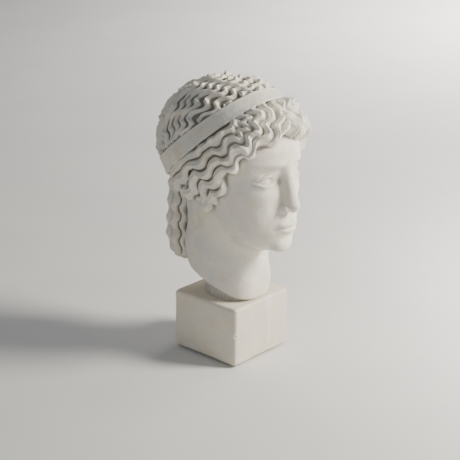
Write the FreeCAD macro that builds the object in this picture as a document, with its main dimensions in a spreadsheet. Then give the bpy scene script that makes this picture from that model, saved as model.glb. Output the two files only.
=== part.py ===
"""A classical head of marble on a square block, held together by a concealed threaded rod.

The row frame is in millimetres. +Z is up, the face looks along -Y and the origin is the middle of
the underside. The head is one carved block: skull, face, neck, hair, head band and the locks that
hang down the nape. It sits on a wedge-shaped seat on the block, and a rod, bonded with resin in the
neck, runs down through the block to a washer and a nut in a pocket of its underside.
"""
import FreeCAD
import Part
import Sketcher
import math
import os

VECTOR = FreeCAD.Vector
UPWARD = VECTOR(0, 0, 1)
OUT_DIR = "parts"

# (alias, value, meaning): the driving dimensions, in millimetres and degrees.
SIZES = [
    ("foot_thick", 2.0, "felt foot, thickness"),
    ("foot_radius", 9.0, "felt foot, radius"),
    ("foot_inset", 15.0, "felt foot, centre from the block's side"),
    ("block_side", 92.0, "square block, side"),
    ("block_high", 68.0, "square block, height"),
    ("corner_round", 4.0, "square block, rounding of its upright edges"),
    ("rim_round", 2.5, "square block, rounding of its top and bottom edges"),
    ("rod_radius", 5.0, "threaded rod, radius"),
    ("rod_long", 110.0, "threaded rod, length"),
    ("rod_low", 9.5, "threaded rod, height of its lower end"),
    ("rod_chamfer", 0.8, "threaded rod, chamfer of its ends"),
    ("rod_bore", 5.5, "clearance bore in the block and the seat, radius"),
    ("pocket_radius", 14.0, "pocket for the nut, radius"),
    ("pocket_deep", 20.0, "pocket for the nut, depth"),
    ("resin_radius", 7.0, "drilled hole in the neck, radius"),
    ("resin_top", 4.0, "resin above the rod's upper end"),
    ("washer_radius", 12.0, "washer, radius"),
    ("washer_thick", 2.0, "washer, thickness"),
    ("nut_flats", 16.0, "nut, width across flats"),
    ("nut_thick", 8.0, "nut, thickness"),
    ("nut_facing", 15.7, "nut, diameter of the flat ring on each of its ends"),
    ("seat_wide", 31.0, "seat, half width"),
    ("seat_deep", 35.0, "seat, half depth"),
    ("seat_back", -4.0, "seat, centre along Y"),
    ("neck_tilt", 21.0, "slope of the neck's underside, rising to the back"),
    ("neck_wide", 37.0, "neck at its foot, half width"),
    ("neck_deep", 46.0, "neck at its foot, half depth"),
    ("neck_back", 4.0, "neck at its foot, centre along Y"),
    ("neck_foot_high", 88.3, "neck at its foot, height of the middle of its sloping underside"),
    ("hair_wide", 70.0, "mass of the hair, half width"),
    ("hair_deep", 92.0, "mass of the hair, half depth"),
    ("hair_high", 78.0, "mass of the hair, half height"),
    ("hair_back", 2.0, "mass of the hair, centre along Y"),
    ("hair_centre", 240.0, "mass of the hair, height of its centre"),
    ("hair_hem", 185.0, "lower edge of the hair over the ears and nape"),
    ("band_wide", 20.0, "head band, width"),
    ("band_proud", 1.5, "head band, how far it stands proud of the hair"),
    ("band_slope", 40.7, "head band, slope of its plane down to the back"),
    ("band_high", 262.0, "head band, height of its plane above the origin"),
    ("lobe_low", 177.0, "lower end of the ear lobes"),
]

# Level cross-sections as (height, centre along Y, half width, half depth).
NECK_SECTIONS = [(125, 10, 43, 49), (150, 8, 43.5, 46.5), (200, 10, 46, 55)]
TAIL_SECTIONS = [(200, 69, 16, 15), (170, 70, 19, 18), (140, 71, 20, 19), (118, 72, 19, 18),
                 (104, 68, 15, 14), (97, 64, 9, 8)]
FACE_SECTIONS = [(133, -58, 9, 13), (138, -55, 21, 23), (146, -50, 31, 31), (158, -42, 39, 37),
                 (175, -34, 46, 44), (195, -22, 51, 54), (220, -14, 54, 61), (245, -10, 55, 68),
                 (270, -8, 50, 66)]

# Low relief of the face, as (across, height, reach across, reach up and down, how far it stands out).
# A form that isn't on the middle line has its mirror image on the other side.
FACE_RELIEF = [
    (19, 221, 12, 8, -7.5),
    (8, 223, 5, 8, -4.0),
    (18.5, 219, 9, 5.5, 6.0),
    (20, 233, 15, 4, 2.5),
    (33, 203, 14, 11, 3.5),
    (8, 186, 5, 4.5, 6.0),
    (0, 168.5, 13, 3.6, 4.0),
    (0, 160.5, 11, 3.8, 4.5),
    (0, 153, 14, 3.5, -2.0),
    (0, 142, 13, 8, 5.0),
]
NOSE_TOP, NOSE_TIP, NOSE_BASE = 234.0, 188.0, 180.5
NOSE_OUT, NOSE_NARROW, NOSE_WIDE = 16.5, 5.0, 7.5

# The skull under the hair, and the left ear lobe, whose height comes from its lower end.
SKULL_CENTRE, SKULL_RADII = (0, 0, 238), (58, 76, 68)
LOBE_CENTRE, LOBE_RADII = (53, -8, 0), (8, 7, 11)

# Sides of the slabs that trim the head, larger than anything they cut.
SLAB_SIDE, SLAB_THICK = 260, 120

# Centres of the long rounded locks round the forehead, from the parting to the ear.
FRINGE_CENTRES = [(10, -76, 277), (25, -72, 272), (38, -64, 263), (48, -53, 250), (54, -40, 236),
                  (58, -27, 221), (60, -15, 206)]
FRINGE_ROUND, FRINGE_LONG = 12.5, 17.0

# The opening of the hair round the face, seen from the front, from the parting to the jaw: (x, z).
FACE_WINDOW = [(0, 268), (24, 262), (42, 246), (51, 222), (54, 192), (54, 100)]

doc = FreeCAD.newDocument("marble_bust")


def make_sheet():
    """The spreadsheet of driving dimensions."""
    sheet = doc.addObject("Spreadsheet::Sheet", "Sizes")
    for row, (alias, value, meaning) in enumerate(SIZES, start=1):
        sheet.set(f"A{row}", meaning)
        sheet.set(f"B{row}", str(value))
        sheet.setAlias(f"B{row}", alias)
    doc.recompute()


def bind(obj, **expressions):
    """Binds an object's sizes to cells: pos_x, pos_y and pos_z stand for its placement."""
    for name, expression in expressions.items():
        path = "Placement.Base." + name[-1] if name.startswith("pos_") else name
        obj.setExpression(path, expression)
    return obj


def cylinder(name, radius, height, foot, x="0", y="0"):
    """An upright cylinder with its sizes and its foot given as expressions."""
    made = doc.addObject("Part::Cylinder", name)
    return bind(made, Radius=radius, Height=height, pos_x=x, pos_y=y, pos_z=foot)


def ellipse(name, height, centre_y, half_wide, half_deep):
    """A level ellipse."""
    made = doc.addObject("Part::Ellipse", name)
    made.MajorRadius = max(half_wide, half_deep)
    made.MinorRadius = min(half_wide, half_deep)
    lengthwise = FreeCAD.Rotation(UPWARD, 90 if half_deep >= half_wide else 0)
    made.Placement = FreeCAD.Placement(VECTOR(0, centre_y, height), lengthwise)
    return made


def loft(name, sections):
    """A closed, smooth solid through the sections."""
    made = doc.addObject("Part::Loft", name)
    made.Sections = sections
    made.Solid = True
    made.Ruled = False
    return made


def ellipse_loft(name, rows, first=None):
    """A loft through level ellipses, which may start from one made earlier."""
    sections = [ellipse(f"{name}_section_{i}", *row) for i, row in enumerate(rows)]
    return loft(name, ([first] if first else []) + sections)


def mirrored(name, source):
    """The mirror image of an object on the other side of the middle plane."""
    made = doc.addObject("Part::Mirroring", name)
    made.Source = source
    made.Normal = VECTOR(1, 0, 0)
    return made


def ellipsoid(name, centre, radii):
    """An ellipsoid with half axes along X, Y and Z."""
    made = doc.addObject("Part::Ellipsoid", name)
    made.Radius2, made.Radius3, made.Radius1 = radii
    made.Placement.Base = VECTOR(*centre)
    return made


def boolean(kind, name, base, tool):
    """Part::Cut or Part::Common of two objects."""
    made = doc.addObject(kind, name)
    if kind == "Part::Cut":
        made.Base, made.Tool = base, tool
    else:
        made.Shapes = [base, tool]
    return made


def cut(name, base, tool):
    return boolean("Part::Cut", name, base, tool)


def common(name, base, tool):
    return boolean("Part::MultiCommon", name, base, tool)


def fuse(name, shapes):
    """One solid from overlapping ones."""
    made = doc.addObject("Part::MultiFuse", name)
    made.Shapes = shapes
    return made


def tilted_slab(name, wide, deep, thick, tilt, y, z):
    """A slab about (0, y, z), turned about the X axis. Its sizes and place are expressions."""
    made = doc.addObject("Part::Box", name)
    made.Placement.Rotation = FreeCAD.Rotation(VECTOR(1, 0, 0), 1)
    made.setExpression("Placement.Rotation.Angle", tilt)
    return bind(made, Length=wide, Width=deep, Height=thick,
                pos_x=f"-({wide}) / 2",
                pos_y=f"({y}) - ({deep}) / 2 * cos({tilt}) + ({thick}) / 2 * sin({tilt})",
                pos_z=f"({z}) - ({deep}) / 2 * sin({tilt}) - ({thick}) / 2 * cos({tilt})")


def below_neck(name):
    """The space under the neck's sloping underside, for trimming what meets it."""
    half = SLAB_THICK / 2
    return tilted_slab(name, f"{SLAB_SIDE}", f"{SLAB_SIDE}", f"{SLAB_THICK}", "Sizes.neck_tilt",
                       f"Sizes.neck_back + {half} * sin(Sizes.neck_tilt)",
                       f"Sizes.neck_foot_high - {half} * cos(Sizes.neck_tilt)")


def make_hair():
    """The mass of the hair with its opening for the face, the roll round it and the head band."""
    mass = bind(doc.addObject("Part::Ellipsoid", "hair_mass"), Radius1="Sizes.hair_high",
                Radius2="Sizes.hair_wide", Radius3="Sizes.hair_deep",
                pos_y="Sizes.hair_back", pos_z="Sizes.hair_centre")
    outline = FACE_WINDOW + [(-x, z) for x, z in reversed(FACE_WINDOW[1:])]
    front, depth = -130, 100
    corners = [VECTOR(x, front, z) for x, z in outline + outline[:1]]
    window = doc.addObject("Part::Feature", "face_window")
    window.Shape = Part.Face(Part.makePolygon(corners)).extrude(VECTOR(0, depth, 0))
    hem = tilted_slab("space_under_hair", f"{SLAB_SIDE}", f"{SLAB_SIDE}", f"{SLAB_THICK}", "0", "0",
                      f"Sizes.hair_hem - {SLAB_THICK / 2}")
    hair = cut("hair", cut("hair_round_face", mass, window), hem)
    swell = bind(doc.addObject("Part::Ellipsoid", "band_round"),
                 Radius1="Sizes.hair_high + Sizes.band_proud",
                 Radius2="Sizes.hair_wide + Sizes.band_proud",
                 Radius3="Sizes.hair_deep + Sizes.band_proud",
                 pos_y="Sizes.hair_back", pos_z="Sizes.hair_centre")
    slab = tilted_slab("band_slab", f"{SLAB_SIDE}", f"{SLAB_SIDE}", "Sizes.band_wide",
                       "-Sizes.band_slope", "0", "Sizes.band_high")
    band = cut("head_band", common("band_ring", swell, slab), hem)
    return [hair, band] + make_fringe()


def make_fringe():
    """The locks round the forehead, each lying along the line through its neighbours."""
    locks = []
    centres = [VECTOR(*centre) for centre in FRINGE_CENTRES]
    for i, centre in enumerate(centres):
        along = centres[min(i + 1, len(centres) - 1)] - centres[max(i - 1, 0)]
        lock = ellipsoid(f"fringe_left_{i}", centre, (FRINGE_ROUND, FRINGE_ROUND, FRINGE_LONG))
        lock.Placement.Rotation = FreeCAD.Rotation(UPWARD, along)
        locks += [lock, mirrored(f"fringe_right_{i}", lock)]
    return locks


def smooth_step(low, high, value):
    """0 below low and 1 above high, with an even curve between them."""
    part = min(max((value - low) / (high - low), 0), 1)
    return part * part * (3 - 2 * part)


def nose_relief(x, z):
    """The nose: a ridge that grows from the brow to its tip and ends just below it."""
    down = smooth_step(NOSE_TOP, NOSE_TIP, z) if z > NOSE_TIP else 1
    ridge = down * smooth_step(NOSE_BASE, NOSE_TIP, z)
    reach = NOSE_NARROW + (NOSE_WIDE - NOSE_NARROW) * down
    return NOSE_OUT * ridge * math.exp(-(x / reach) ** 2)


def face_relief(x, z):
    """How far the face stands out from its plain form, along -Y."""
    total = nose_relief(x, z)
    for across, height, reach_x, reach_z, out in FACE_RELIEF:
        rise = out * math.exp(-((z - height) / reach_z) ** 2)
        for side in ([1, -1] if across else [1]):
            total += rise * math.exp(-((x - side * across) / reach_x) ** 2)
    return total


def between(rows, z):
    """The values that a table of sections gives at a height, on an even curve through them."""
    heights = [row[0] for row in rows]
    curve = Part.BSplineCurve()
    curve.interpolate([VECTOR(*row[1:]) for row in rows], Parameters=heights)
    return curve.value(z)


def smooth_surface(rings, heights):
    """A surface through closed rings of points, at the given heights, that wraps round on itself."""
    around = []
    for ring in rings:
        curve = Part.BSplineCurve()
        curve.interpolate(ring, PeriodicFlag=True, Parameters=range(len(ring) + 1))
        around.append(curve)
    columns = []
    for poles in zip(*[curve.getPoles() for curve in around]):
        column = Part.BSplineCurve()
        column.interpolate(list(poles), Parameters=heights)
        columns.append(column)
    surface = Part.BSplineSurface()
    surface.buildFromPolesMultsKnots([column.getPoles() for column in columns],
                                     around[0].getMultiplicities(), columns[0].getMultiplicities(),
                                     around[0].getKnots(), columns[0].getKnots(),
                                     True, False, around[0].Degree, columns[0].Degree)
    return surface


def make_face():
    """The face and jaw: level ellipses that carry the relief on their fronts, with flat ends."""
    turns, steps = 80, 48
    low, high = FACE_SECTIONS[0][0], FACE_SECTIONS[-1][0]
    heights = [low + (high - low) * j / steps for j in range(steps + 1)]
    rings = []
    for z in heights:
        centre, half_wide, half_deep = between(FACE_SECTIONS, z)
        ring = []
        for i in range(turns):
            angle = 2 * math.pi * i / turns
            x = half_wide * math.sin(angle)
            ahead = max(-math.cos(angle), 0)
            ring.append(VECTOR(x, centre + half_deep * math.cos(angle) - ahead * face_relief(x, z), z))
        rings.append(ring)
    skin = smooth_surface(rings, heights).toShape()
    shell = Part.Shell([skin] + [Part.Face(Part.Wire(edge)) for edge in skin.Edges if edge.isClosed()])
    shell.sewShape()
    made = doc.addObject("Part::Feature", "face")
    made.Shape = Part.Solid(shell)
    return made


def make_head():
    """The carved head and neck with the drilled hole for the rod."""
    foot = doc.addObject("Part::Ellipse", "neck_foot")
    foot.Placement.Rotation = FreeCAD.Rotation(VECTOR(1, 0, 0), 1)
    bind(foot, MajorRadius="Sizes.neck_deep / cos(Sizes.neck_tilt)", MinorRadius="Sizes.neck_wide",
         pos_y="Sizes.neck_back", pos_z="Sizes.neck_foot_high")
    foot.setExpression("Placement.Rotation", "create(<<rotation>>; 90; -Sizes.neck_tilt; 0)")
    neck = ellipse_loft("neck", NECK_SECTIONS, first=foot)
    tail = ellipse_loft("hanging_locks", TAIL_SECTIONS)
    skull = ellipsoid("skull", SKULL_CENTRE, SKULL_RADII)
    lobe = bind(ellipsoid("ear_lobe_left", LOBE_CENTRE, LOBE_RADII),
                pos_z=f"Sizes.lobe_low + {LOBE_RADII[2]}")
    forms = [neck, skull, make_face(), tail, lobe, mirrored("ear_lobe_right", lobe)]
    carved = fuse("carved_head", forms + make_hair())
    hole = cylinder("neck_hole", "Sizes.resin_radius",
                    "Sizes.rod_low + Sizes.rod_long + Sizes.resin_top", "0")
    return cut("head", carved, hole)


def make_seat():
    """The wedge between the neck and the block."""
    outline = doc.addObject("Part::Ellipse", "seat_outline")
    outline.Placement.Rotation = FreeCAD.Rotation(UPWARD, 90)
    bind(outline, MajorRadius="Sizes.seat_deep", MinorRadius="Sizes.seat_wide",
         pos_y="Sizes.seat_back", pos_z="Sizes.foot_thick + Sizes.block_high")
    prism = doc.addObject("Part::Extrusion", "seat_prism")
    prism.Base = outline
    prism.Dir = UPWARD
    prism.setExpression("LengthFwd", "Sizes.neck_foot_high - Sizes.block_high + Sizes.neck_deep / 4")
    prism.Solid = True
    wedge = common("seat_wedge", prism, below_neck("seat_trim"))
    bore = cylinder("seat_bore", "Sizes.rod_bore", "Sizes.block_high", "Sizes.block_high / 2")
    return cut("neck_seat", wedge, bore)


def make_resin():
    """The resin between the rod and the neck's drilled hole, closed over the rod's end."""
    outer = cylinder("resin_outer", "Sizes.resin_radius",
                     "Sizes.rod_low + Sizes.rod_long + Sizes.resin_top - Sizes.block_high / 2",
                     "Sizes.block_high / 2")
    inner = cylinder("resin_inner", "Sizes.rod_radius", "Sizes.rod_long", "Sizes.rod_low")
    return cut("rod_resin", cut("resin_sleeve", outer, inner), below_neck("resin_trim"))


def origin_plane(body, role):
    return next(f for f in body.Origin.OriginFeatures if f.Role == role)


def centred_square(sketch, side):
    """A square about the sketch's origin whose side is bound to an expression."""
    half = 10.0
    points = [VECTOR(-half, -half, 0), VECTOR(half, -half, 0),
              VECTOR(half, half, 0), VECTOR(-half, half, 0)]
    for i in range(4):
        sketch.addGeometry(Part.LineSegment(points[i], points[(i + 1) % 4]), False)
    for i in range(4):
        sketch.addConstraint(Sketcher.Constraint("Coincident", i, 2, (i + 1) % 4, 1))
    for i in range(4):
        sketch.addConstraint(Sketcher.Constraint("Horizontal" if i % 2 == 0 else "Vertical", i))
    sketch.addConstraint(Sketcher.Constraint("Symmetric", 0, 1, 2, 1, -1, 1))
    for kind, line in (("DistanceX", 0), ("DistanceY", 1)):
        index = sketch.addConstraint(Sketcher.Constraint(kind, line, 1, line, 2, 2 * half))
        sketch.setExpression(f"Constraints[{index}]", side)


def centred_circle(sketch, radius):
    """A circle about the sketch's origin whose radius is bound to an expression."""
    sketch.addGeometry(Part.Circle(VECTOR(0, 0, 0), VECTOR(0, 0, 1), 5.0), False)
    sketch.addConstraint(Sketcher.Constraint("Coincident", 0, 3, -1, 1))
    index = sketch.addConstraint(Sketcher.Constraint("Radius", 0, 5.0))
    sketch.setExpression(f"Constraints[{index}]", radius)


def body_sketch(body, name, offset):
    """A sketch on the body's XY plane, raised by an expression."""
    sketch = body.newObject("Sketcher::SketchObject", name)
    sketch.AttachmentSupport = [(origin_plane(body, "XY_Plane"), "")]
    sketch.MapMode = "FlatFace"
    sketch.setExpression("AttachmentOffset.Base.z", offset)
    return sketch


def edges_where(shape, wanted):
    return [f"Edge{i}" for i, edge in enumerate(shape.Edges, start=1) if wanted(edge)]


def body_fillet(body, name, base, wanted, radius):
    """A PartDesign fillet of the edges that wanted() picks."""
    made = body.newObject("PartDesign::Fillet", name)
    made.Base = (base, edges_where(base.Shape, wanted))
    made.setExpression("Radius", radius)
    doc.recompute()
    return made


def body_pocket(body, name, radius, depth):
    """A round pocket upwards from the block's underside."""
    sketch = body_sketch(body, name + "_sketch", "Sizes.foot_thick")
    centred_circle(sketch, radius)
    made = body.newObject("PartDesign::Pocket", name)
    made.Profile = sketch
    made.setExpression("Length", depth)
    made.Reversed = True
    doc.recompute()
    return made


def make_plinth():
    """The square block, drilled for the rod and pocketed for the nut."""
    body = doc.addObject("PartDesign::Body", "plinth")
    sketch = body_sketch(body, "plinth_outline", "Sizes.foot_thick")
    centred_square(sketch, "Sizes.block_side")
    pad = body.newObject("PartDesign::Pad", "plinth_block")
    pad.Profile = sketch
    pad.setExpression("Length", "Sizes.block_high")
    doc.recompute()
    upright = body_fillet(body, "plinth_corners", pad,
                          lambda e: e.BoundBox.ZLength > 1, "Sizes.corner_round")
    body_fillet(body, "plinth_rims", upright, lambda e: e.BoundBox.ZLength < 0.01, "Sizes.rim_round")
    undrilled = body.Shape.Volume
    bored = body_pocket(body, "rod_clearance", "Sizes.rod_bore", "Sizes.block_high").Shape.Volume
    pocketed = body_pocket(body, "nut_pocket", "Sizes.pocket_radius", "Sizes.pocket_deep").Shape.Volume
    if not pocketed < bored < undrilled:
        raise RuntimeError("the block's bore or pocket cut nothing")
    return body


def make_rod():
    """The threaded rod, plain here, with chamfered ends."""
    bar = cylinder("rod_bar", "Sizes.rod_radius", "Sizes.rod_long", "Sizes.rod_low")
    doc.recompute()
    size = doc.Sizes.rod_chamfer
    made = doc.addObject("Part::Chamfer", "mounting_rod")
    made.Base = bar
    made.Edges = [(i, size, size) for i, edge in enumerate(bar.Shape.Edges, start=1)
                  if edge.BoundBox.ZLength < 0.01]
    return made


def make_washer():
    foot = "Sizes.foot_thick + Sizes.pocket_deep - Sizes.washer_thick"
    disc = cylinder("washer_disc", "Sizes.washer_radius", "Sizes.washer_thick", foot)
    bore = cylinder("washer_bore", "Sizes.rod_bore", "Sizes.washer_thick", foot)
    return cut("washer", disc, bore)


def make_nut():
    """A hexagonal nut whose corners are taken off by a cone at either end."""
    foot = "Sizes.foot_thick + Sizes.pocket_deep - Sizes.washer_thick - Sizes.nut_thick"
    trimmed = bind(doc.addObject("Part::Prism", "nut_prism"), Circumradius="Sizes.nut_flats / sqrt(3)",
                   Height="Sizes.nut_thick", pos_z=foot)
    trimmed.Polygon = 6
    narrow = "Sizes.nut_facing / 2"
    wide = "Sizes.nut_facing / 2 + Sizes.nut_thick * 2"
    for end, low, high in (("bottom", narrow, wide), ("top", wide, narrow)):
        cone = doc.addObject("Part::Cone", f"nut_cone_{end}")
        bind(cone, Radius1=low, Radius2=high, Height="Sizes.nut_thick", pos_z=foot)
        trimmed = common(f"nut_trimmed_{end}", trimmed, cone)
    bore = cylinder("nut_bore", "Sizes.rod_radius", "Sizes.nut_thick", foot)
    return cut("nut", trimmed, bore)


def make_feet():
    """Four round felt feet, one under each corner of the block."""
    reach = "(Sizes.block_side / 2 - Sizes.foot_inset)"
    feet = []
    for side, x in (("left", ""), ("right", "-")):
        for end, y in (("front", "-"), ("back", "")):
            feet.append(cylinder(f"felt_foot_{end}_{side}", "Sizes.foot_radius", "Sizes.foot_thick", "0",
                                 x=f"{x}{reach}", y=f"{y}{reach}"))
    return feet


def export(objects):
    """Checks every object of the document, then writes each sub-part to its own file."""
    doc.recompute()
    for obj in doc.Objects:
        if "Invalid" in obj.State or "Error" in obj.State:
            raise RuntimeError(f"{obj.Label} failed: {obj.State}")
    os.makedirs(OUT_DIR, exist_ok=True)
    for obj in objects:
        shape = obj.Shape
        if shape.isNull() or not shape.isValid() or not shape.Solids:
            raise RuntimeError(f"{obj.Label} has no valid solid")
        shape.exportStep(os.path.join(OUT_DIR, obj.Label + ".step"))
        size = shape.BoundBox
        print(f"{obj.Label:24s} solids {len(shape.Solids)} volume {shape.Volume / 1000:9.2f} cm3 "
              f"y {size.YMin:.2f}..{size.YMax:.2f} z {size.ZMin:.2f}..{size.ZMax:.2f}")


make_sheet()
SUBPARTS = [make_head(), make_seat(), make_plinth(), make_rod(), make_resin(), make_washer(), make_nut()]
export(SUBPARTS + make_feet())
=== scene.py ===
"""The looks of the marble bust: a carved head on a worn block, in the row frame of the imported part.

The head is modelled the way it would be in clay. A block of voxels holds distances in millimetres.
Rounded forms are added to it and cut from it, waved locks of hair are raised over a smooth egg, and
the result is turned into one closed mesh. +Z is up, the face looks along -Y, and +X is the head's left.
"""
import math

import bpy
import numpy as np
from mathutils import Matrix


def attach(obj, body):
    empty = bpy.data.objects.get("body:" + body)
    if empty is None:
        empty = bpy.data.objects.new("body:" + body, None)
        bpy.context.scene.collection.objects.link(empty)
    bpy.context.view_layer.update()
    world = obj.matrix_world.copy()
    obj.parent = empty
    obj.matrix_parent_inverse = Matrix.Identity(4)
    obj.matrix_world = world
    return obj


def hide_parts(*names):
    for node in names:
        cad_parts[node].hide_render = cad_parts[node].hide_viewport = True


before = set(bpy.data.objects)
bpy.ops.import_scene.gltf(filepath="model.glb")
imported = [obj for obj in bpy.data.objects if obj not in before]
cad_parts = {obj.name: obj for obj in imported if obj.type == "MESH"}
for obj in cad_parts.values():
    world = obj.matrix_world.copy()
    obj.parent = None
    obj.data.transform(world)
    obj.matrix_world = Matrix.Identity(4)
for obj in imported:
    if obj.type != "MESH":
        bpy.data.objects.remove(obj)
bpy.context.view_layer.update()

import openvdb
from mathutils import Matrix, Vector

MM = 0.001
ROOT = "root"

# Kept above zero where a distance divides.
TINY = 1e-6

# Seeds of the random draws.
NOISE_SEED, CROWN_SEED, FRINGE_SEED, TAIL_SEED, CHIP_SEED = 11, 3, 5, 7, 23

# ---------------------------------------------------------------- distances


def smooth_min(a, b, blend):
    """The lower of two distances, with the crease between them filled over about blend."""
    if blend <= 0:
        return np.minimum(a, b)
    mix = np.clip(0.5 + 0.5 * (b - a) / blend, 0, 1)
    return b + (a - b) * mix - blend * mix * (1 - mix)


def smooth_max(a, b, blend):
    """The higher of two distances, with the edge between them rounded over about blend."""
    return -smooth_min(-a, -b, blend)


def smooth_step(low, high, value):
    """0 below low and 1 above high, with an even curve between them."""
    part = np.clip((value - low) / (high - low), 0, 1)
    return part * part * (3 - 2 * part)


def hump(value, centre, reach):
    """A bell of height 1 round centre."""
    return np.exp(-((value - centre) / reach) ** 2)


def ellipsoid(centre, radii, tilt=0.0, turn=0.0):
    """Distance to an ellipsoid, tilted about X and then turned about Z, in degrees."""
    ct, st = math.cos(math.radians(tilt)), math.sin(math.radians(tilt))
    cz, sz = math.cos(math.radians(turn)), math.sin(math.radians(turn))

    def distance(x, y, z):
        u, v, w = x - centre[0], y - centre[1], z - centre[2]
        u, v = u * cz + v * sz, v * cz - u * sz
        v, w = v * ct + w * st, w * ct - v * st
        u, v, w = u / radii[0], v / radii[1], w / radii[2]
        near = np.sqrt(u * u + v * v + w * w) + TINY
        steep = np.sqrt((u / radii[0]) ** 2 + (v / radii[1]) ** 2 + (w / radii[2]) ** 2) + TINY
        return near * (near - 1) / steep
    return distance


def capsule(start, end, radius_start, radius_end):
    """Distance to a rounded bar whose radius changes evenly from end to end."""
    a, b = np.array(start, float), np.array(end, float)
    along = b - a
    length_squared = along @ along

    def distance(x, y, z):
        u, v, w = x - a[0], y - a[1], z - a[2]
        part = np.clip((u * along[0] + v * along[1] + w * along[2]) / length_squared, 0, 1)
        u, v, w = u - along[0] * part, v - along[1] * part, w - along[2] * part
        gap = np.sqrt(u ** 2 + v ** 2 + w ** 2)
        return gap - radius_start - (radius_end - radius_start) * part
    return distance


class Unevenness:
    """Smooth noise between about -1 and 1, the same on each run."""

    CELLS = 32

    def __init__(self, seed):
        rng = np.random.default_rng(seed)
        self.lattice = rng.uniform(-1, 1, (self.CELLS,) * 3).astype(np.float32)

    def __call__(self, x, y, z, cell):
        total = 0.0
        places = [(axis / cell) % self.CELLS for axis in (x, y, z)]
        bases = [np.floor(place).astype(np.int32) for place in places]
        parts = [(place - base).astype(np.float32) for place, base in zip(places, bases)]
        parts = [part * part * (3 - 2 * part) for part in parts]
        for corner in np.ndindex(2, 2, 2):
            spots = [(base + step) % self.CELLS for base, step in zip(bases, corner)]
            weights = [part if step else 1 - part for part, step in zip(parts, corner)]
            value = self.lattice[spots[0], spots[1], spots[2]]
            total = total + weights[0] * weights[1] * weights[2] * value
        return total


def largest_part(points, quads):
    """The largest connected part of a mesh, without the crumbs and the hollows inside it."""
    label = np.arange(len(points))
    settled = False
    while not settled:
        lowest = label.copy()
        np.minimum.at(lowest, quads.ravel(), np.repeat(label[quads].min(axis=1), 4))
        lowest = lowest[lowest]
        settled = np.array_equal(lowest, label)
        label = lowest
    kept = label == np.bincount(label).argmax()
    number = np.cumsum(kept) - 1
    return points[kept], number[quads[kept[quads[:, 0]]]]


def spread_of(radius, blend):
    """How far round its centre line a blended form changes the clay."""
    return radius + 1.5 * blend + 2


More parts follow.
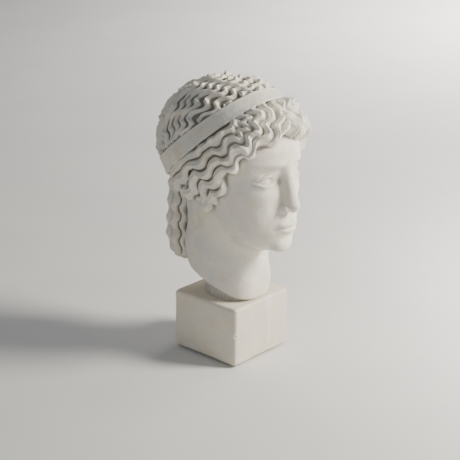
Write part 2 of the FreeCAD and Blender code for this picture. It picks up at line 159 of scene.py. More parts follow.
class Clay:
    """A block of voxels that holds the distance to a surface, negative inside it."""

    EMPTY = 30.0        # distance stored where nothing is near
    NARROW = 3.0        # voxels kept on each side of the surface when it is meshed
    SKIN = 5.0          # depth in which the surface is weathered
    CONTRAST = 2.5      # how strongly hollows and edges are told apart

    def __init__(self, low, high, step):
        self.low, self.step = np.array(low, float), step
        self.count = np.ceil((np.array(high, float) - self.low) / step).astype(int) + 1
        self.field = np.full(self.count, self.EMPTY, np.float32)

    def window(self, low, high):
        """The slices between two corners and the coordinates of their voxels, ready to broadcast."""
        first = np.clip(np.floor((np.array(low) - self.low) / self.step).astype(int), 0, self.count - 1)
        last = np.clip(np.ceil((np.array(high) - self.low) / self.step).astype(int) + 1, 1, self.count)
        axes = [(self.low[i] + np.arange(first[i], last[i]) * self.step).astype(np.float32)
                for i in range(3)]
        slices = tuple(slice(first[i], last[i]) for i in range(3))
        return slices, axes[0][:, None, None], axes[1][None, :, None], axes[2][None, None, :]

    def everywhere(self):
        """The coordinates of all the voxels, ready to broadcast."""
        return self.window(self.low, self.low + self.count * self.step)[1:]

    def add(self, low, high, distance, blend=0.0):
        """Adds a form between two corners, blended with what is there."""
        here, x, y, z = self.window(low, high)
        self.field[here] = smooth_min(self.field[here], distance(x, y, z), blend)

    def cut(self, low, high, distance, blend=0.0):
        """Takes a form away between two corners."""
        here, x, y, z = self.window(low, high)
        self.field[here] = smooth_max(self.field[here], -distance(x, y, z), blend)

    def form(self, centre, radii, blend, tilt=0.0, turn=0.0, carve=False, both=True):
        """Adds or carves an ellipsoid, and its mirror image if it is off the middle plane."""
        reach = spread_of(max(radii), blend)
        for side in ([1, -1] if both and centre[0] else [1]):
            middle = np.array([side * centre[0], centre[1], centre[2]])
            shape = ellipsoid(middle, radii, tilt, side * turn)
            (self.cut if carve else self.add)(middle - reach, middle + reach, shape, blend)

    def bar(self, start, end, radius_start, radius_end, blend, carve=False):
        """Adds or carves a rounded bar and its mirror image."""
        reach = spread_of(max(radius_start, radius_end), blend)
        for side in (1, -1):
            a, b = [np.array([side * p[0], p[1], p[2]]) for p in (start, end)]
            shape = capsule(a, b, radius_start, radius_end)
            low, high = np.minimum(a, b) - reach, np.maximum(a, b) + reach
            (self.cut if carve else self.add)(low, high, shape, blend)

    def near(self, low, high, distance):
        """Marks the voxels whose given distance lies between two values, and gives their places."""
        x, y, z = self.everywhere()
        marked = (distance > low) & (distance < high)
        i, j, k = np.nonzero(marked)
        return marked, x.ravel()[i], y.ravel()[j], z.ravel()[k]

    def weather(self, noise, depths):
        """Wears the surface unevenly, by (cell, depth) in millimetres."""
        marked, x, y, z = self.near(-self.SKIN, self.SKIN, self.field)
        for cell, depth in depths:
            self.field[marked] += depth * noise(x, y, z, cell)

    def mesh(self):
        """The surface as corner points in millimetres and quads."""
        grid = openvdb.FloatGrid(background=self.NARROW)
        grid.copyFromArray(np.clip(self.field / self.step, -self.NARROW, self.NARROW))
        points, quads = largest_part(*grid.convertToQuads(isovalue=0.0))
        return points * self.step + self.low, quads

    def sample(self, values, points):
        """Values of a grid shaped like the field, read at points between the voxels."""
        place = np.clip((points - self.low) / self.step, 0, self.count - 1.001)
        base = place.astype(int)
        part = place - base
        total = 0.0
        for corner in np.ndindex(2, 2, 2):
            weight = np.prod(np.where(corner, part, 1 - part), axis=1)
            total = total + weight * values[tuple((base + corner).T)]
        return total

    def hollowness(self, points, reach):
        """How far a point lies in a hollow, from -1 on an edge to 1 in a groove, over a reach."""
        width = max(int(round(reach / self.step)), 1)
        mean = np.clip(self.field, -reach, reach)
        for axis in (0, 1, 2):
            margin = [(width + 1, width) if i == axis else (0, 0) for i in range(3)]
            for _ in range(2):
                total = np.cumsum(np.pad(mean, margin, mode="edge"), axis=axis, dtype=np.float64)
                size = total.shape[axis]
                upper = np.take(total, range(2 * width + 1, size), axis=axis)
                lower = np.take(total, range(0, size - 2 * width - 1), axis=axis)
                mean = ((upper - lower) / (2 * width + 1)).astype(np.float32)
        return np.clip(-self.sample(mean, points) / reach * self.CONTRAST, -1, 1)


# ---------------------------------------------------------------- the head's plan, in millimetres

# The smooth egg that the hair lies on, and the lowest height of the hair above the nape.
HAIR_CENTRE = np.array([0.0, 2.0, 240.0])
HAIR_RADII = np.array([69.0, 91.0, 77.0])
HAIR_HEM = 184.0

# The head band: its middle's height over the centre line, its fall to the back, and half its width.
BAND_HIGH, BAND_SLOPE, BAND_BEND = 262.0, 0.87, 0.0016
BAND_HALF = 9.5
BAND_COS = 1 / math.hypot(1, BAND_SLOPE)
BAND_FRONT = np.array([0.0, -BAND_COS, BAND_SLOPE * BAND_COS])

# Level sections of the neck and of the face, as (height, centre along Y, half width, half depth).
NECK_PLAN = np.array([(60, 1, 33, 41.5), (75, 1.5, 34.5, 42.5), (90, 4, 38.5, 45.5), (106, 7, 41, 48),
                      (125, 9.5, 42.5, 48.5), (150, 7.5, 43, 46), (175, 8, 43.5, 47.5), (205, 10, 45, 55)],
                     float)
FACE_PLAN = np.array([(128, -58, 6, 8), (134, -56, 17, 19), (140, -52, 26, 27), (150, -46, 34, 34),
                      (165, -39, 42, 41), (185, -28, 48.5, 50), (205, -18, 52, 58.5), (225, -13, 54, 63.5),
                      (245, -10, 55, 68), (268, -8, 52, 66), (290, -4, 42, 56)], float)

# The sloping underside of the neck: the height of a place on it, where along Y, and its tilt.
NECK_FOOT, NECK_BACK, NECK_TILT = 88.3, 4.0, 21.0


def plan_distance(plan, x, y, z, power=2.0):
    """Distance to a stack of level ovals, measured level. They are ellipses where power is 2."""
    heights = plan[:, 0]
    level = z.ravel()
    centre, wide, deep = [smooth_rows(level, heights, plan[:, i])[None, None, :] for i in (1, 2, 3)]
    u, v = np.abs(x) / wide, np.abs(y - centre) / deep
    near = (u ** power + v ** power) ** (1 / power) + TINY
    round_near = np.sqrt(u * u + v * v) + TINY
    steep = np.sqrt((u / wide) ** 2 + (v / deep) ** 2) + TINY
    return round_near * (near - 1) / steep


def smooth_rows(level, heights, values):
    """Values at the given levels on an even curve through a table's rows."""
    slopes = np.gradient(values, heights)
    i = np.clip(np.searchsorted(heights, level) - 1, 0, len(heights) - 2)
    span = heights[i + 1] - heights[i]
    t = np.clip((level - heights[i]) / span, 0, 1)
    level_values = values[i] * (2 * t ** 3 - 3 * t ** 2 + 1) + values[i + 1] * (3 * t ** 2 - 2 * t ** 3)
    sloped = slopes[i] * (t ** 3 - 2 * t ** 2 + t) + slopes[i + 1] * (t ** 3 - t ** 2)
    return (level_values + span * sloped).astype(np.float32)


def band_offset(y, z):
    """How far a place lies above the middle of the head band, across it."""
    return (z - BAND_HIGH + BAND_SLOPE * y - BAND_BEND * y * y) * BAND_COS


def hair_distance(x, y, z):
    """Distance to the smooth egg that the hair lies on."""
    return ellipsoid(HAIR_CENTRE, HAIR_RADII)(x, y, z)


def band_turn(x, y, z):
    """The angle round the head from the front, in the plane of the band, in degrees from 0 to 180."""
    ahead = (y - HAIR_CENTRE[1]) * BAND_FRONT[1] + (z - HAIR_CENTRE[2]) * BAND_FRONT[2]
    return np.degrees(np.arctan2(np.abs(x), ahead))


def band_runs():
    """The length round the head from the front, as matching rows of angles and millimetres."""
    turns = np.arange(0.0, 181.0, 2.0)
    ahead, aside = np.cos(np.radians(turns)), np.sin(np.radians(turns))
    ring = BAND_FRONT[None, :] * ahead[:, None] + np.array([1.0, 0, 0]) * aside[:, None]
    points = ring / np.linalg.norm(ring / HAIR_RADII, axis=1)[:, None]
    steps = np.linalg.norm(np.diff(points, axis=0), axis=1)
    return turns, np.concatenate([[0], np.cumsum(steps)])


# ---------------------------------------------------------------- locks of hair


# Locks that differ from each other before they come round again.
DIFFERENT = 64


def swung(phase):
    """A wave with broad rounded crests."""
    return np.sin(phase) + 0.10 * np.sin(3 * phase)


def lock_relief(place, strands, round_off, rng):
    """Locks side by side: how high each stands, from 0 in the valleys to about 1, and its strands."""
    number = np.floor(place)
    part = place - number
    which = number.astype(int) % DIFFERENT
    spread = rng.uniform(0.78, 1.15, DIFFERENT).astype(np.float32)
    body = np.sin(math.pi * part) ** round_off * spread[which]
    shift = rng.uniform(-0.25, 0.25, DIFFERENT).astype(np.float32)
    strand = np.abs(np.sin(math.pi * (strands * part + shift[which])))
    return body, strand * np.sqrt(body)


# The crown's locks: their width and waves in millimetres, and how angles become lengths.
CROWN_LOCK, CROWN_WAVE = 8.8, 24.0
CROWN_ARC, CROWN_LONG = 76.0, 84.0
CROWN_DRIFT = 24.0
POLE_DROP = 0.9


def crown_height(x, y, z, noise, rng):
    """Height above the egg of long waved locks, from the crown's middle line down and back."""
    u, v, w = x / HAIR_RADII[0], (y - HAIR_CENTRE[1]) / HAIR_RADII[1], (z - HAIR_CENTRE[2]) / HAIR_RADII[2]
    far = np.sqrt(u * u + v * v + w * w)
    across = np.arcsin(np.clip(np.abs(u) / far, 0, 1))
    side = np.where(x < 0, -1.0, 1.0)
    run = CROWN_ARC * across
    back = np.arctan2(v, w + POLE_DROP * np.abs(u))
    line = CROWN_LONG * back - (CROWN_DRIFT + 14 * smooth_step(0.6, 1.9, back)) * across
    line = line + 3.2 * noise(x, y, z, 24.0)
    phase = 2 * math.pi * run / CROWN_WAVE + 1.2 * np.sin(line / 19 + 0.9 * side) + 0.8 * side
    phase = phase + 0.5 * noise(x, y + 50, z, 24.0)
    moved = line + 3.3 * smooth_step(0, 12, run) * swung(phase) + 3 * side
    body, strand = lock_relief(moved / CROWN_LOCK + 20, 3, 0.95, rng)
    body = body * (1 + 0.2 * noise(x, y, z + 30, 12.0))
    height = -6.2 + 7.2 * body + 1.0 * strand + 0.9 * np.cos(2 * phase) * body
    return height + 1.2 * noise(x + 40, y, z, 14.0) - 1.6 * hump(run, 0, 2.4)


# The locks below the band: their width, waves and swing in millimetres.
FRINGE_LOCK, FRINGE_WAVE, FRINGE_SWING = 12.5, 24.0, 4.1

# They run down up to this far round from the front, bend over this length, and then slant.
FRINGE_TURN, FRINGE_LONG, FRINGE_SLANT = 62.0, 70.0, 0.10

# Past this way along, the waves of the fringe grow longer by a share of what lies beyond it.
FRINGE_CALM, CALM_SHARE = 95.0, 0.36

# The angle round the head at which the fringe gives way to the bunch at the nape.
FRINGE_END = 172

# How far the hair reaches below the band, in millimetres, at angles round the head from the front.
HEM_TURNS = np.array([0, 20, 48, 75, 100, 120, 140, 165, 180], float)
HEM_WIDTHS = np.array([43, 43, 41, 48, 57, 50, 33, 17, 16], float)


def fringe_places(x, y, z, offset):
    """Places in the hair below the band: the row, how far down, the way along, the run and the angle."""
    turn = band_turn(x, y, z)
    run = np.interp(turn, *band_runs())
    down = -BAND_HALF - offset
    below = np.maximum(down, 0)
    ahead = np.maximum(FRINGE_TURN - run, 0)
    row = np.sqrt(below ** 2 + ahead ** 2) + np.minimum(down, 0)
    bend = np.arctan2(below + 0.5, ahead) / (math.pi / 2)
    along = np.where(run > FRINGE_TURN, run, FRINGE_TURN - FRINGE_LONG * (1 - bend))
    return row, down, along, run, turn


def fringe_field(x, y, z, egg, offset, noise, rng):
    """Distance to the bulky locks that run down at the front and sweep back past the ears in waves."""
    row, down, along, run, turn = fringe_places(x, y, z, offset)
    wide = smooth_rows(turn, HEM_TURNS, HEM_WIDTHS)
    side = np.where(x < 0, -1.0, 1.0)
    slower = CALM_SHARE * np.maximum(along - FRINGE_CALM, 0)
    phase = 2 * math.pi * (along - slower) / FRINGE_WAVE + 0.5 * np.sin(along / 23)
    phase = phase + 0.35 * side - 0.012 * row
    phase = phase + 0.5 * noise(x, y + 50, z, 22.0)
    swing = FRINGE_SWING * smooth_step(3, 20, row) * (1 - 0.35 * smooth_step(120, 180, along))
    wave = swing * swung(phase) - 1.5 * noise(x, y, z, 18.0)
    moved = down - wave - 2
    slanted = row - wave - 2 + FRINGE_SLANT * np.maximum(along - FRINGE_TURN, 0)
    slanted = slanted * (1 - 0.26 * smooth_step(85, 135, turn))
    body, strand = lock_relief(slanted / FRINGE_LOCK + 20 + 5 * (side > 0), 3, 0.75, rng)
    body = body * (1 + 0.2 * noise(x, y, z + 30, 12.0))
    height = -2.2 + 5.8 * body + 1.5 * strand
    height = height + 1.3 * np.cos(2 * phase + 0.6) * body * smooth_step(135, 95, turn)
    height = height + 1.6 * np.sin(math.pi * down / 17 + 0.4) * smooth_step(46, 26, run)
    height = height - 2.0 * smooth_step(130, 160, turn) - 3.0 * hump(run, 0, 2.6)
    tuck = 4.0 * smooth_step(5, -3, moved)
    locks = smooth_max(egg - height + tuck, moved + 2.5 - 3.0 * body - wide, 4.5)
    locks = smooth_max(locks, -down - 1.5 * smooth_step(0, 4, moved), 2)
    bed = smooth_max(egg + 2.6, down - wide + 9, 4)
    return smooth_max(np.minimum(locks, bed), (turn - FRINGE_END) * 1.2, 3)


# Level sections of the bunch at the nape, as (height, centre along Y, half width, half depth).
TAIL_PLAN = np.array([(86, 63, 7, 7), (94, 66, 13, 12), (104, 69.5, 17, 15.5), (118, 71.5, 19, 17.5),
                      (140, 70.5, 19.5, 18), (160, 70, 18.5, 17.5), (185, 69.5, 17, 16.5),
                      (206, 66, 14.5, 15)], float)
TAIL_LOCK, TAIL_WAVE = 10.5, 20.0
TAIL_LOW, TAIL_HIGH = 92, 206


def tail_field(x, y, z, noise, rng):
    """Distance to the bunch of waved locks that hangs down the nape."""
    base = plan_distance(TAIL_PLAN, x, y, z)
    around = np.arctan2(x, y - 66.0) * 16
    phase = 2 * math.pi * z / TAIL_WAVE + 0.5 * noise(x, y, z, 20.0)
    moved = around + 1.7 * swung(phase) * smooth_step(205, 190, z)
    body, strand = lock_relief(moved / TAIL_LOCK + 20.5, 3, 0.8, rng)
    height = -3.4 + 4.8 * body + 1.5 * strand + 1.2 * np.cos(phase + 0.025 * around)
    return smooth_max(smooth_max(base - height, TAIL_LOW - z, 6), z - TAIL_HIGH, 3)


HAIR_DEEP, HAIR_PROUD = -14, 9      # the layer about the egg that the hair is carved in
TAIL_BOX = (-28, 44, 86), (28, 96, 210)


def shape_hair(clay, noise):
    """The mass of the hair, its band, the locks above and below it, and the bunch at the nape."""
    x, y, z = clay.everywhere()
    marked, px, py, pz = clay.near(HAIR_DEEP, HAIR_PROUD, hair_distance(x, y, z))
    egg = hair_distance(px, py, pz)
    offset = band_offset(py, pz)
    crown = egg - crown_height(px, py, pz, noise, np.random.default_rng(CROWN_SEED))
    crown = smooth_max(np.minimum(crown, egg + 5), BAND_HALF + 0.6 - offset, 3)
    edge = 0.7 * hump(np.abs(offset), BAND_HALF - 1.4, 1.3)
    band = smooth_max(egg - 0.6 - edge, np.abs(offset) - BAND_HALF, 1.2)
    fringe = fringe_field(px, py, pz, egg, offset, noise, np.random.default_rng(FRINGE_SEED))
    hair = np.minimum(np.minimum(crown, fringe), band)
    hair = smooth_max(hair, HAIR_HEM - pz, 2)
    clay.field[marked] = np.minimum(clay.field[marked], hair)
    here, x, y, z = clay.window(*TAIL_BOX)
    tail = tail_field(x, y, z, noise, np.random.default_rng(TAIL_SEED))
    clay.field[here] = smooth_min(clay.field[here], tail, 1.6)
    shape_ears(clay)


def shape_ears(clay):
    """The groove behind the lock over each ear, and the ear lobe that shows below it."""
    clay.bar((67, 3, 227), (59, 13, 197), 1.6, 2.4, 1.5, carve=True)
    clay.form((51.5, -8, 187), (7.0, 6.2, 10.5), 3.5, tilt=12, turn=-14)
    clay.form((58.5, -10, 190), (2.2, 2.6, 4.6), 2.0, tilt=12, carve=True)


# ---------------------------------------------------------------- face and neck


# Low forms of the face as (across, height, reach across, reach up and down, how far it stands out).
FACE_FORMS = [(0, 240, 30, 14, 1.2), (21, 220.5, 12.5, 9, -9.5), (9.5, 222, 4.5, 8, -5.5),
              (21, 229.5, 13, 3.5, -2.2), (20, 236.5, 16, 4, 3.4), (34, 202, 13, 10, 3.4),
              (0, 142, 12, 8, 2.2), (0, 152.5, 15, 3.6, -2.4), (0, 166, 17, 11, 3.4),
              (24, 165, 7, 9, -1.4), (18.5, 164, 3.5, 4, -1.6), (17, 186, 6, 10, -1.2)]

# Just off the middle plane, for a bar that lies along it.
MIDDLE = 0.01


def face_shift(x, z):
    """How far the plain face is pushed forward, by low forms that run into each other."""
    out = 0.0
    for across, height, reach_x, reach_z, rise in FACE_FORMS:
        for side in ([1, -1] if across else [1]):
            out = out + rise * hump(x, side * across, reach_x) * hump(z, height, reach_z)
    return out


def shape_face(clay):
    """The head's flesh: face, jaw and neck, then the features one after another."""
    x, y, z = clay.everywhere()
    forward = smooth_step(-10, -50, y)
    face = plan_distance(FACE_PLAN, x, y + face_shift(x, z) * forward, z)
    under = ellipsoid((0, -30, 172), (46, 57, 44))(x, y, z)
    face = smooth_max(face, under - 50 * smooth_step(168, 200, z), 7)
    face = smooth_max(face, z - 285, 12)
    face = smooth_min(face, ellipsoid((0, 2, 236), (58, 78, 64))(x, y, z), 6)
    squareness = 2 + 0.8 * smooth_step(108, 82, z)
    neck = smooth_max(plan_distance(NECK_PLAN, x, y, z, squareness), z - 225, 10)
    clay.field = smooth_min(face, neck, 12).astype(np.float32)
    clay.bar((40, 8, 182), (13, -29, 92), 10, 5, 14)
    nose(clay)
    eyes(clay)
    mouth(clay)
    clay.form((0, -70.5, 142), (13, 8.5, 8), 8)


def nose(clay):
    """The bridge, the tip, the wings and the nostrils."""
    clay.bar((MIDDLE, -74.0, 232), (MIDDLE, -83.0, 193), 4.4, 6.2, 7)
    clay.form((0, -86.5, 189), (5.8, 6.5, 5.6), 4)
    clay.form((7.6, -79.2, 186.8), (4.3, 6.8, 4.6), 3, turn=16)
    clay.form((0, -82.5, 184), (2.2, 6, 2.8), 2)
    clay.form((4.2, -81.8, 181.6), (2.1, 3.8, 2.0), 1.0, tilt=10, turn=18, carve=True)


# An eye's centre and ball, the almond between its lids, and the lids' thickness.
EYE = np.array([21.0, -54.8, 218.0])
EYE_ROUND = 14.0
EYE_HALF, EYE_UPPER, EYE_LOWER = 13.2, 6.0, 4.2
LID_THICK = 2.9


def lid_opening(x, z):
    """Level distance to the almond between the lids, in the plane across the face."""
    out = []
    for rise, sign in ((EYE_UPPER, 1), (EYE_LOWER, -1)):
        radius = (EYE_HALF ** 2 + rise ** 2) / (2 * rise)
        out.append(np.sqrt(x * x + (z + sign * (radius - rise)) ** 2) - radius)
    return smooth_max(out[0], out[1], 0.6)


def eyes(clay):
    """Plain blank eyes with lids, set under the brow."""
    for side in (1, -1):
        centre = EYE * [side, 1, 1]
        reach = EYE_ROUND + 6
        here, x, y, z = clay.window(centre - reach, centre + reach)
        u, v, w = (x - centre[0]) * side, y - centre[1], z - centre[2]
        w_turned = w + 0.05 * u
        ball = np.sqrt(u * u + v * v + w * w)
        opening = lid_opening(u, w_turned)
        fold = 3.0 * hump(w_turned, 9.0 - 0.04 * u * u, 1.5) * (w_turned > 0)
        lids = smooth_max(ball - EYE_ROUND - LID_THICK + fold, -opening, 0.5)
        clay.field[here] = smooth_min(clay.field[here], np.maximum(lids, v + 1), 1.8)
        clay.field[here] = smooth_min(clay.field[here], np.maximum(ball - EYE_ROUND, opening - 2), 0.15)


def mouth(clay):
    """A closed mouth with full, level lips."""
    clay.form((5.6, -79.3, 168.6), (9.4, 5.2, 3.3), 1.8, tilt=8, turn=17)
    clay.form((0, -79.0, 160.9), (11.2, 5.8, 3.9), 2.2, tilt=-6)
    for side in (1, -1):
        previous = np.array([0.0, -84.4, 165.2])
        for x, y, z in ((5, -83.7, 164.5), (10, -81.5, 165.0), (14, -79.0, 165.0), (17.5, -76.3, 164.2)):
            end = np.array([side * x, y, z])
            reach = 5
            clay.cut(np.minimum(previous, end) - reach, np.maximum(previous, end) + reach,
                     capsule(previous, end, 1.3, 1.1), 1.0)
            previous = end
    clay.bar((MIDDLE, -82.0, 178.5), (MIDDLE, -83.6, 172.4), 1.5, 2.0, 1.6, carve=True)


NAPE_FRONT, NAPE_BACK = 53, 62      # the bunch at the nape starts between these and isn't trimmed
NAPE_CLEAR = 60                     # how far the cut is lifted there
ROD_HOLE, ROD_HOLE_TOP = 7.0, 123.5


def trim_foot(clay):
    """The neck's sloping underside and the drilled hole for the rod."""
    _, y, z = clay.everywhere()
    slope = math.radians(NECK_TILT)
    under = (NECK_FOOT - z) * math.cos(slope) + (y - NECK_BACK) * math.sin(slope)
    under = under - NAPE_CLEAR * smooth_step(NAPE_FRONT, NAPE_BACK, y)
    clay.field = smooth_max(clay.field, under, 1.6)
    clay.cut((-10, -10, 66), (10, 10, 128), round_hole(ROD_HOLE, ROD_HOLE_TOP), 0)


def round_hole(radius, top):
    """Distance to an upright hole that ends at a height."""
    def distance(x, y, z):
        return np.maximum(np.sqrt(x * x + y * y) - radius, z - top)
    return distance


def settle(clay, name, replaced, marks, triangles):
    """Turns clay into a closed mesh that rides on the body, thinned out, with marks at its points."""
    points, quads = clay.mesh()
    data = bpy.data.meshes.new(name + "_raw")
    data.vertices.add(len(points))
    data.vertices.foreach_set("co", points.astype(np.float32).ravel())
    data.loops.add(quads.size)
    data.loops.foreach_set("vertex_index", quads.astype(np.int32).ravel())
    data.polygons.add(len(quads))
    data.polygons.foreach_set("loop_start", np.arange(0, quads.size, 4, dtype=np.int32))
    data.update(calc_edges=True)
    made = bpy.data.objects.new(name, data)
    bpy.context.scene.collection.objects.link(made)
    if 2 * len(quads) > triangles:
        thin = made.modifiers.new("thin", "DECIMATE")
        thin.ratio = triangles / (2 * len(quads))
        shown = made.evaluated_get(bpy.context.evaluated_depsgraph_get())
        fewer = bpy.data.meshes.new_from_object(shown)
        made.modifiers.clear()
        made.data = fewer
        bpy.data.meshes.remove(data)
        data = fewer
    data.name = name
    points = np.empty(3 * len(data.vertices), np.float32)
    data.vertices.foreach_get("co", points)
    points = points.reshape(-1, 3)
    for mark, values in marks(points).items():
        layer = data.attributes.new(mark, "FLOAT", "POINT")
        layer.data.foreach_set("value", values.astype(np.float32))
    data.vertices.foreach_set("co", (points * MM).ravel())
    data.shade_smooth()
    data.update()
    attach(made, ROOT)
    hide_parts(replaced)
    return made


HEAD_BOX = (-80, -101, 66), (80, 101, 324)
HEAD_VOXEL, HEAD_QUICK_VOXEL = 0.9, 1.5
HEAD_TRIANGLES = 190_000


def build_head(noise):
    """The carved head, with marks for the dust and painted shade in its hollows."""
    clay = Clay(*HEAD_BOX, HEAD_VOXEL)
    shape_face(clay)
    shape_hair(clay, noise)
    clay.weather(noise, [(17, 0.35), (5, 0.22)])
    trim_foot(clay)

    def marks(points):
        px, py, pz = points.T
        crown = smooth_step(-BAND_HALF - 2, -BAND_HALF + 2, band_offset(py, pz))
        fringe = (1 - crown) * smooth_step(-9, -6, hair_distance(px, py, pz))
        # Share of dust and painted shade in the hollows: most on the crown, least on the front of the
        # fringe, none at the foot of the neck.
        dust_and_shade_share = 0.5 + 0.8 * crown + (0.05 - 0.3 * smooth_step(-20, -60, py)) * fringe
        dust_and_shade_share = dust_and_shade_share * smooth_step(85, 105, pz)
        return {"hollow": clay.hollowness(points, 3.5) * dust_and_shade_share, "fresh": np.zeros(len(points))}
    return settle(clay, "head_carved", "head", marks, HEAD_TRIANGLES)


BLOCK_HALF = 46.0
BLOCK_LOW, BLOCK_TOP = 2.0, 70.0
BLOCK_ROUND = 3.6       # radius of its worn edges
BLOCK_WORN = 0.25       # how far its sides stand back from the new block's
BLOCK_BOX = (-50, -50, -2), (50, 50, 74)
BLOCK_VOXEL, BLOCK_QUICK_VOXEL = 0.8, 1.4
BLOCK_TRIANGLES = 90_000
BORE, POCKET, POCKET_DEEP = 5.5, 14.0, 20
CHIPS = 22

# A fresh nick on an upright edge, and a pale streak down the front.
NICK = np.array([-45.4, -45.4, 38.0])
STREAK_X = 13.0


def block_edges(rng, count):
    """Places along the block's edges for its chips."""
    for _ in range(count):
        along = rng.uniform(-0.95, 0.95) * BLOCK_HALF
        a, b = rng.choice([-1, 1], 2) * BLOCK_HALF
        middle = 0.5 * (BLOCK_LOW + BLOCK_TOP)
        upright = np.array([a, b, middle + along * 0.7])
        rim = BLOCK_TOP if rng.uniform() < 0.6 else BLOCK_LOW
        level = np.array([along, b, rim]) if rng.uniform() < 0.5 else np.array([a, along, rim])
        yield upright if rng.uniform() < 0.35 else level


def build_block(noise):
    """The old square block with worn edges, chips, a bore for the rod and a pocket for its nut."""
    rng = np.random.default_rng(CHIP_SEED)
    clay = Clay(*BLOCK_BOX, BLOCK_VOXEL)
    x, y, z = clay.everywhere()
    worn = BLOCK_ROUND + 1.2 * noise(x, y, z, 30.0)
    half = BLOCK_HALF - BLOCK_WORN
    gap_x, gap_y = np.abs(x) - half + worn, np.abs(y) - half + worn
    gap_z = np.abs(z - 0.5 * (BLOCK_LOW + BLOCK_TOP)) - 0.5 * (BLOCK_TOP - BLOCK_LOW) + worn
    out = np.sqrt(np.maximum(gap_x, 0) ** 2 + np.maximum(gap_y, 0) ** 2 + np.maximum(gap_z, 0) ** 2)
    within = np.minimum(np.maximum(np.maximum(gap_x, gap_y), gap_z), 0)
    clay.field = (out + within - worn).astype(np.float32)
    for place in block_edges(rng, CHIPS):
        radii = rng.uniform(1.0, 2.6, 3)
        clay.form(place + rng.uniform(-0.6, 0.6, 3), radii, 1.0, tilt=rng.uniform(0, 180),
                  turn=rng.uniform(0, 180), carve=True, both=False)
    clay.form(NICK, (2.2, 2.2, 2.4), 0.6, carve=True, both=False)
    clay.weather(noise, [(11, 0.18), (4, 0.08)])
    clay.field = np.maximum(clay.field, BLOCK_LOW - z)
    clay.cut((-20, -20, -2), (20, 20, 26), round_hole(POCKET, BLOCK_LOW + POCKET_DEEP), 0)
    clay.cut((-10, -10, -2), (10, 10, 74), round_hole(BORE, BLOCK_TOP + 10), 0)

    def marks(points):
        px, py, pz = points.T
        nick = 1 - smooth_step(2.4, 3.4, np.linalg.norm(points - NICK, axis=1))
        ragged = noise(px, py, pz, 5.0)
        streak = 0.75 * hump(px + 1.6 * ragged, STREAK_X, 2.8) * (py < -BLOCK_HALF + 3)
        streak = streak * smooth_step(8, 20, pz) * (0.75 + 0.5 * ragged)
        # The hollow mark darkens the chips and pits with dust and painted shade.
        return {"hollow": clay.hollowness(points, 3.0), "fresh": np.maximum(nick, streak)}
    return settle(clay, "block_worn", "plinth", marks, BLOCK_TRIANGLES)


# ---------------------------------------------------------------- materials


class Recipe:
    """A node material on the Principled shader, mixed from noises in the object's own millimetres."""

    def __init__(self, name, rough, metallic=0.0):
        self.material = bpy.data.materials.new(name)
        self.material.use_nodes = True
        self.tree = self.material.node_tree
        self.shader = self.tree.nodes["Principled BSDF"]
        self.shader.inputs["Metallic"].default_value = metallic
        place = self.tree.nodes.new("ShaderNodeTexCoord").outputs["Object"]
        scaled = self.tree.nodes.new("ShaderNodeVectorMath")
        scaled.operation = "SCALE"
        scaled.inputs["Scale"].default_value = 1 / MM
        self.tree.links.new(place, scaled.inputs[0])
        self.place = scaled.outputs["Vector"]
        self.shader.inputs["Roughness"].default_value = rough

    def spots(self, cell, detail=4.0, low=0.35, high=0.65, warp=0.0):
        """Noise with cells of a size in millimetres, from 0 to 1 between two levels."""
        noise = self.tree.nodes.new("ShaderNodeTexNoise")
        noise.inputs["Scale"].default_value = 1 / cell
        noise.inputs["Detail"].default_value = detail
        noise.inputs["Distortion"].default_value = warp
        self.tree.links.new(self.place, noise.inputs["Vector"])
        return self.between(noise.outputs["Fac"], low, high)

    def between(self, value, low, high, top=1.0):
        """Spreads a value so that low becomes 0 and high becomes top."""
        node = self.tree.nodes.new("ShaderNodeMapRange")
        node.interpolation_type = "SMOOTHSTEP"
        node.inputs["From Min"].default_value = low
        node.inputs["From Max"].default_value = high
        node.inputs["To Max"].default_value = top
        self.tree.links.new(value, node.inputs["Value"])
        return node.outputs["Result"]

    def mark(self, name):
        """A value stored at the mesh's points."""
        node = self.tree.nodes.new("ShaderNodeAttribute")
        node.attribute_name = name
        return node.outputs["Fac"]

    def times(self, first, second):
        """The product of two values, each a number or a node's output."""
        node = self.tree.nodes.new("ShaderNodeMath")
        node.operation = "MULTIPLY"
        for socket, value in zip(node.inputs, (first, second)):
            if isinstance(value, float):
                socket.default_value = value
            else:
                self.tree.links.new(value, socket)
        return node.outputs["Value"]

    def mixed(self, share, first, second):
        """A colour between two colours, each given by its numbers or by another mix."""
        node = self.tree.nodes.new("ShaderNodeMix")
        node.data_type = "RGBA"
        self.tree.links.new(share, node.inputs["Factor"])
        for socket, colour in (("A", first), ("B", second)):
            if isinstance(colour, tuple):
                node.inputs[socket].default_value = (*colour, 1)
            else:
                self.tree.links.new(colour, node.inputs[socket])
        return node.outputs["Result"]

    def finish(self, colour, relief=None, depth=0.0, gloss=None):
        """Connects the colour, a relief of a depth in millimetres, and a spread of roughness."""
        self.tree.links.new(colour, self.shader.inputs["Base Color"])
        if relief is not None:
            bump = self.tree.nodes.new("ShaderNodeBump")
            bump.inputs["Strength"].default_value = 1.0
            bump.inputs["Distance"].default_value = depth * MM
            self.tree.links.new(relief, bump.inputs["Height"])
            self.tree.links.new(bump.outputs["Normal"], self.shader.inputs["Normal"])
        if gloss is not None:
            spread = self.tree.nodes.new("ShaderNodeMapRange")
            rough = self.shader.inputs["Roughness"].default_value
            spread.inputs["To Min"].default_value = rough - 0.08
            spread.inputs["To Max"].default_value = rough + 0.10
            self.tree.links.new(gloss, spread.inputs["Value"])
            self.tree.links.new(spread.outputs["Result"], self.shader.inputs["Roughness"])
        return self.material


FRESH = (0.86, 0.84, 0.80)      # clean stone


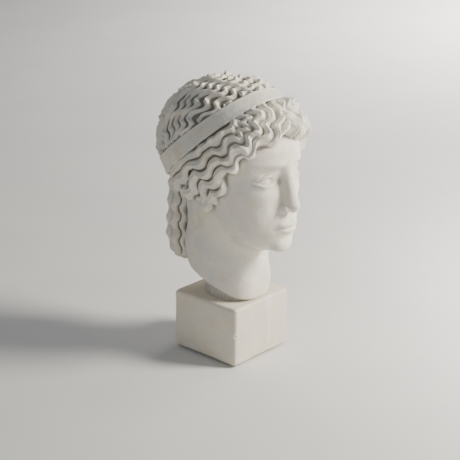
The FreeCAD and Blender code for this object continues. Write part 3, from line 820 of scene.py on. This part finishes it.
def old_stone(name, pale, cool, warm, dust_and_shade, stain):
    """Old weathered marble: mottled pale and cool, warm stains, dust and painted shade in its hollows, and
    fine pits.
    """
    recipe = Recipe(name, 0.60)
    colour = recipe.mixed(recipe.spots(30, 5, 0.36, 0.66, 0.4), pale, cool)
    colour = recipe.mixed(recipe.times(recipe.spots(18, 6, 0.48, 0.76, 0.8), stain), colour, warm)
    colour = recipe.mixed(recipe.times(recipe.spots(3.2, 5, 0.50, 0.80), 0.30), colour, warm)
    # Painted shade and dust: the hollows are darkened towards a dark grey-brown.
    colour = recipe.mixed(recipe.between(recipe.mark("hollow"), 0.0, 0.55, 0.95), colour, dust_and_shade)
    pits = recipe.spots(1.9, 2, 0.66, 0.75)
    colour = recipe.mixed(recipe.times(pits, 0.30), colour, dust_and_shade)
    colour = recipe.mixed(recipe.mark("fresh"), colour, FRESH)
    relief = recipe.spots(1.5, 5, 0.25, 0.75)
    return recipe.finish(colour, relief, 0.2, recipe.spots(8, 4))


def dress(node, material):
    """Gives a carried-over CAD node its material."""
    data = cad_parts[node].data
    data.materials.clear()
    data.materials.append(material)


def dress_hardware():
    """Materials of the plaster bed, the resin, the steel fixing and the felt feet."""
    plaster = Recipe("plaster", 0.85)
    colour = plaster.mixed(plaster.spots(5, 5), (0.66, 0.63, 0.57), (0.54, 0.50, 0.44))
    colour = plaster.mixed(plaster.times(plaster.spots(0.9, 2, 0.6, 0.7), 0.5), colour, (0.36, 0.33, 0.29))
    dress("neck_seat", plaster.finish(colour, plaster.spots(1.1, 4), 0.3, plaster.spots(3)))
    steel = Recipe("steel", 0.34, 1.0)
    colour = steel.mixed(steel.spots(4, 5), (0.56, 0.57, 0.58), (0.44, 0.44, 0.44))
    colour = steel.mixed(steel.times(steel.spots(2.2, 6, 0.62, 0.75), 0.4), colour, (0.27, 0.19, 0.13))
    steel.finish(colour, steel.spots(0.5, 3), 0.03, steel.spots(1.5))
    for node in ("mounting_rod", "washer", "nut"):
        dress(node, steel.material)
    resin = Recipe("resin", 0.30)
    colour = resin.mixed(resin.spots(3.5, 4), (0.55, 0.42, 0.22), (0.42, 0.30, 0.14))
    dress("rod_resin", resin.finish(colour, resin.spots(2), 0.1, resin.spots(4)))
    felt = Recipe("felt", 0.95)
    colour = felt.mixed(felt.spots(0.8, 6, 0.3, 0.7, 1.5), (0.30, 0.29, 0.27), (0.21, 0.20, 0.19))
    felt.finish(colour, felt.spots(0.35, 6, 0.2, 0.8, 2.0), 0.35)
    felt.shader.inputs["Sheen Weight"].default_value = 0.4
    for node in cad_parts:
        if node.startswith("felt_foot"):
            dress(node, felt.material)


# ---------------------------------------------------------------- camera, floor and light


SENSOR, LENS = 36, 108.4        # in millimetres
CAMERA_PLACE = (-1.10293, -0.95211, 0.67103)
CAMERA_LOOK = (0.71018, 0.61539, -0.34195)
CAMERA_RIGHT = (0.65487, -0.75574, 0.0)
CAMERA_ROLL = -0.81             # in degrees

FLOOR_HALF = 40.0
SKY, SKY_POWER = (0.90, 0.95, 1.0, 1), 0.235

# Round lamps as (name, place, target, width, power, colour, spread in degrees).
LAMPS = [("key", (0.64, -0.90, 0.86), (0, 0, 0.18), 0.45, 36, (1.0, 0.945, 0.85), 180),
         ("side", (0.60, -0.54, 0.55), (0.64, -0.55, 0), 0.5, 11, (1.0, 0.985, 0.96), 110),
         ("far", (2.45, 0.05, 1.2), (2.3, 0.2, 0), 1.0, 110, (1.0, 0.975, 0.94), 120),
         ("fill", (-1.8, -0.4, 0.9), (0, 0, 0.18), 1.2, 4, (0.88, 0.94, 1.0), 180)]


def camera():
    """The camera at the photograph's angle."""
    data = bpy.data.cameras.new("camera")
    data.sensor_width = SENSOR
    data.lens = LENS
    made = bpy.data.objects.new("camera", data)
    bpy.context.scene.collection.objects.link(made)
    look, right = Vector(CAMERA_LOOK), Vector(CAMERA_RIGHT)
    up = right.cross(look)
    roll = math.radians(CAMERA_ROLL)
    # The picture is turned by roll, so the camera turns the other way.
    turned_right = right * math.cos(roll) - up * math.sin(roll)
    turned_up = right * math.sin(roll) + up * math.cos(roll)
    turn = Matrix((turned_right, turned_up, -look)).transposed()
    made.matrix_world = Matrix.Translation(Vector(CAMERA_PLACE)) @ turn.to_4x4()
    bpy.context.scene.camera = made


def area_light(name, place, target, size, power, colour, spread):
    """A round lamp at a place, turned to its target."""
    data = bpy.data.lights.new(name, "AREA")
    data.shape = "DISK"
    data.size = size
    data.energy = power
    data.color = colour
    data.spread = math.radians(spread)
    made = bpy.data.objects.new(name, data)
    bpy.context.scene.collection.objects.link(made)
    made.location = place
    made.rotation_euler = (Vector(target) - Vector(place)).to_track_quat("-Z", "Y").to_euler()


def studio():
    """A plain pale floor, an even sky and the lamps."""
    data = bpy.data.meshes.new("floor")
    corners = [(x * FLOOR_HALF, y * FLOOR_HALF, 0) for x, y in ((-1, -1), (1, -1), (1, 1), (-1, 1))]
    data.from_pydata(corners, [], [(0, 1, 2, 3)])
    floor = bpy.data.objects.new("floor", data)
    bpy.context.scene.collection.objects.link(floor)
    paper = Recipe("floor", 0.85)
    colour = paper.mixed(paper.spots(160, 3), (0.74, 0.725, 0.705), (0.71, 0.70, 0.685))
    data.materials.append(paper.finish(colour, paper.spots(0.8, 3), 0.05))
    world = bpy.data.worlds.new("world")
    world.use_nodes = True
    sky = world.node_tree.nodes["Background"]
    sky.inputs["Color"].default_value = SKY
    sky.inputs["Strength"].default_value = SKY_POWER
    bpy.context.scene.world = world
    for lamp in LAMPS:
        area_light(*lamp)


camera()
studio()
unevenness = Unevenness(NOISE_SEED)
head = build_head(unevenness)
# The dark hollow colour stands for dust and painted shade in the grooves.
head.data.materials.append(old_stone("marble", pale=(0.82, 0.77, 0.665), cool=(0.72, 0.70, 0.645),
                                     warm=(0.68, 0.57, 0.40), dust_and_shade=(0.20, 0.175, 0.145), stain=0.55))
block = build_block(unevenness)
block.data.materials.append(old_stone("marble_block", pale=(0.77, 0.70, 0.575),
                                      cool=(0.72, 0.67, 0.575), warm=(0.66, 0.56, 0.40),
                                      dust_and_shade=(0.34, 0.29, 0.22), stain=0.5))
dress_hardware()
